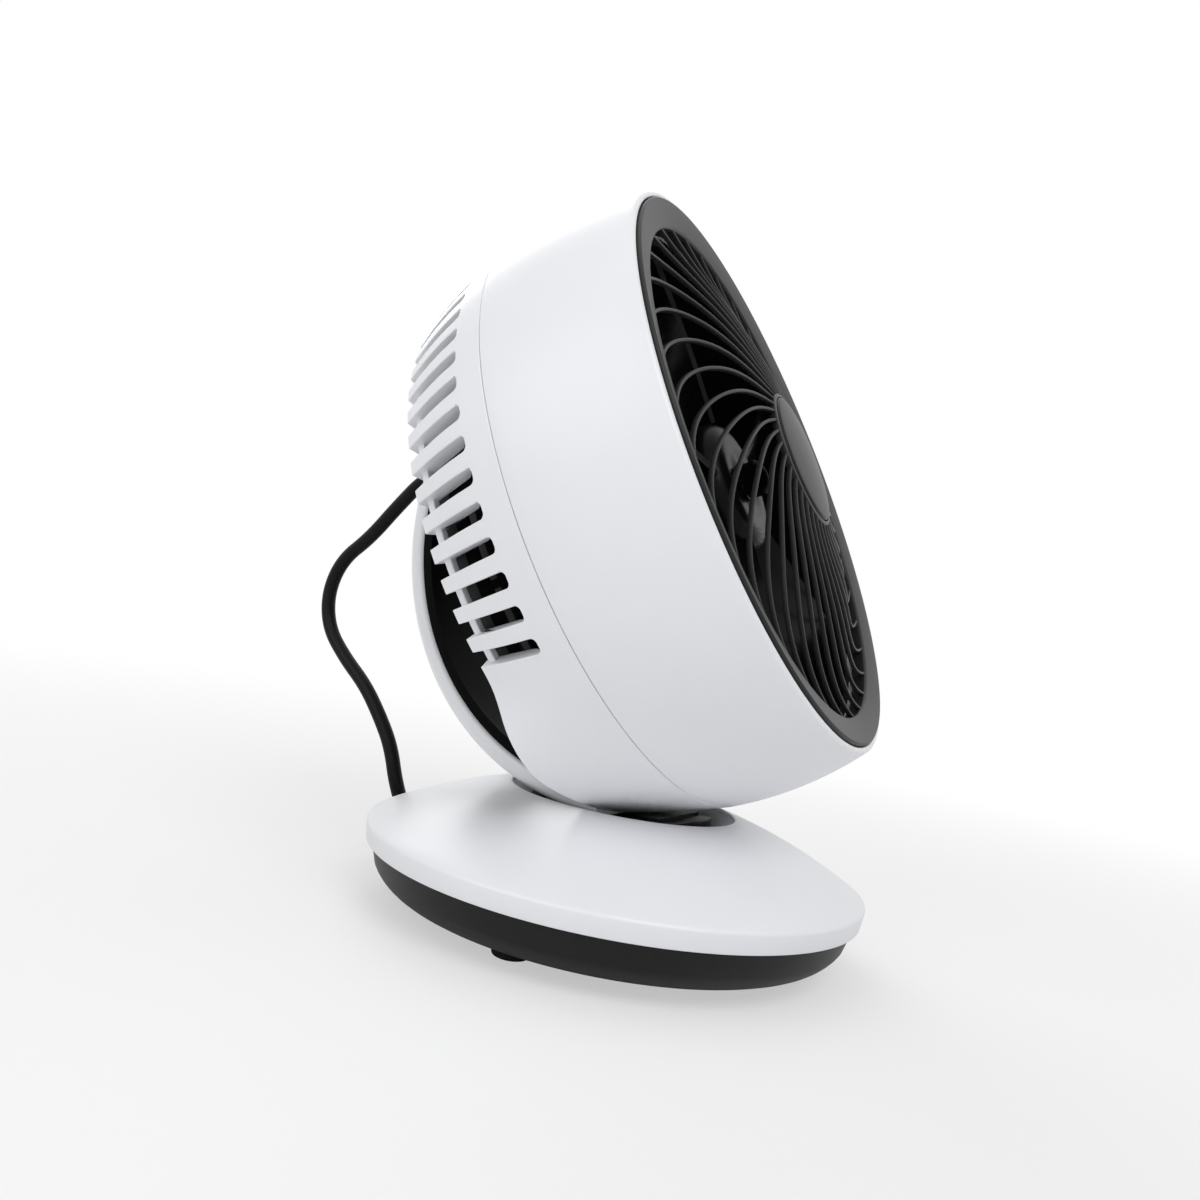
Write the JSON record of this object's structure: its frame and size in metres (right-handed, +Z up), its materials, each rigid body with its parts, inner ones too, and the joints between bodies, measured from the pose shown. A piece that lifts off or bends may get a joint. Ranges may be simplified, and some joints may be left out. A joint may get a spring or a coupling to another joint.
{
  "type": "air circulator fan",
  "caption": "Round tilting air circulator with a swirled front grille, a louvred back and a curved rear spine that slides over a domed swivelling base, with its mains cord.",
  "frame": {"origin": "centre of the base on the table, under the swivel's axis", "axes": "+Z up; -Y is the side the air blows to, so the grille faces -Y and the cord leaves on +Y; +X is to the right of someone who looks along +Y"},
  "size_m": [0.3028, 0.273, 0.2809],
  "materials": {
    "white_shell": "satin white moulded plastic",
    "black_plastic": "black moulded plastic, satin",
    "dark_grille": "dark grey satin plastic",
    "fan_blades": "glossy black plastic",
    "grey_trim": "mid grey plastic",
    "foot_rubber": "soft black rubber",
    "ballast_iron": "cast iron, oiled",
    "screw_steel": "zinc plated steel",
    "motor_steel": "pressed steel",
    "copper_wire": "enamelled copper wire",
    "bush_bronze": "sintered bronze",
    "washer_nylon": "natural nylon",
    "cord_black": "black flexible PVC",
    "pin_brass": "bright brass"
  },
  "bodies": {
    "base": {"base_cover": "white_shell", "base_tray": "black_plastic", "ballast_ring": "ballast_iron", "base_feet": "foot_rubber", "base_screws": "screw_steel", "recess_trim": "grey_trim", "thrust_washers": "washer_nylon"},
    "swivel": {"neck": "black_plastic", "retainer_plate": "motor_steel", "retainer_screws": "screw_steel", "clamp_shoe": "black_plastic", "clamp_screw": "screw_steel", "cord_lead": "cord_black", "cord_coil": "cord_black", "plug_body": "cord_black", "plug_blades": "pin_brass"},
    "head": {"front_shell": "white_shell", "rear_shell": "white_shell", "shell_screws": "screw_steel", "front_grille": "dark_grille", "hub_cap": "dark_grille", "inner_duct": "black_plastic", "rear_guard": "black_plastic", "motor_cap": "black_plastic", "motor_screws": "screw_steel", "motor_front_cover": "motor_steel", "motor_rear_cover": "motor_steel", "motor_bushes": "bush_bronze", "stator": "motor_steel", "windings": "copper_wire", "spine_shell": "white_shell", "spine_liner": "black_plastic", "switch_housing": "black_plastic", "rotary_switch": "black_plastic", "strain_relief": "black_plastic"},
    "fan": {"impeller": "fan_blades", "spinner_nut": "black_plastic", "shaft": "screw_steel", "motor_rotor": "motor_steel"},
    "knob": {"speed_knob": "black_plastic"}
  },
  "joints": [
    {"name": "base_swivel", "type": "hinge", "parent": "base", "child": "swivel", "pos_m": [0, 0, 0.041], "axis": [0, 0, 1], "range_deg": [-40, 40]},
    {"name": "head_tilt", "type": "hinge", "parent": "swivel", "child": "head", "pos_m": [0, -0.002, 0.1493], "axis": [-1, 0, 0], "range_deg": [-26.5, 53.4], "deforming": ["cord_lead"]},
    {"name": "fan_spin", "type": "hinge", "parent": "head", "child": "fan", "pos_m": [0, -0.0392, 0.1827], "axis": [0, -0.8944, 0.4473], "continuous": true},
    {"name": "knob_turn", "type": "hinge", "parent": "head", "child": "knob", "pos_m": [0, 0.1029, 0.1493], "axis": [0, 1, 0], "range_deg": [0, 135]}
  ]
}
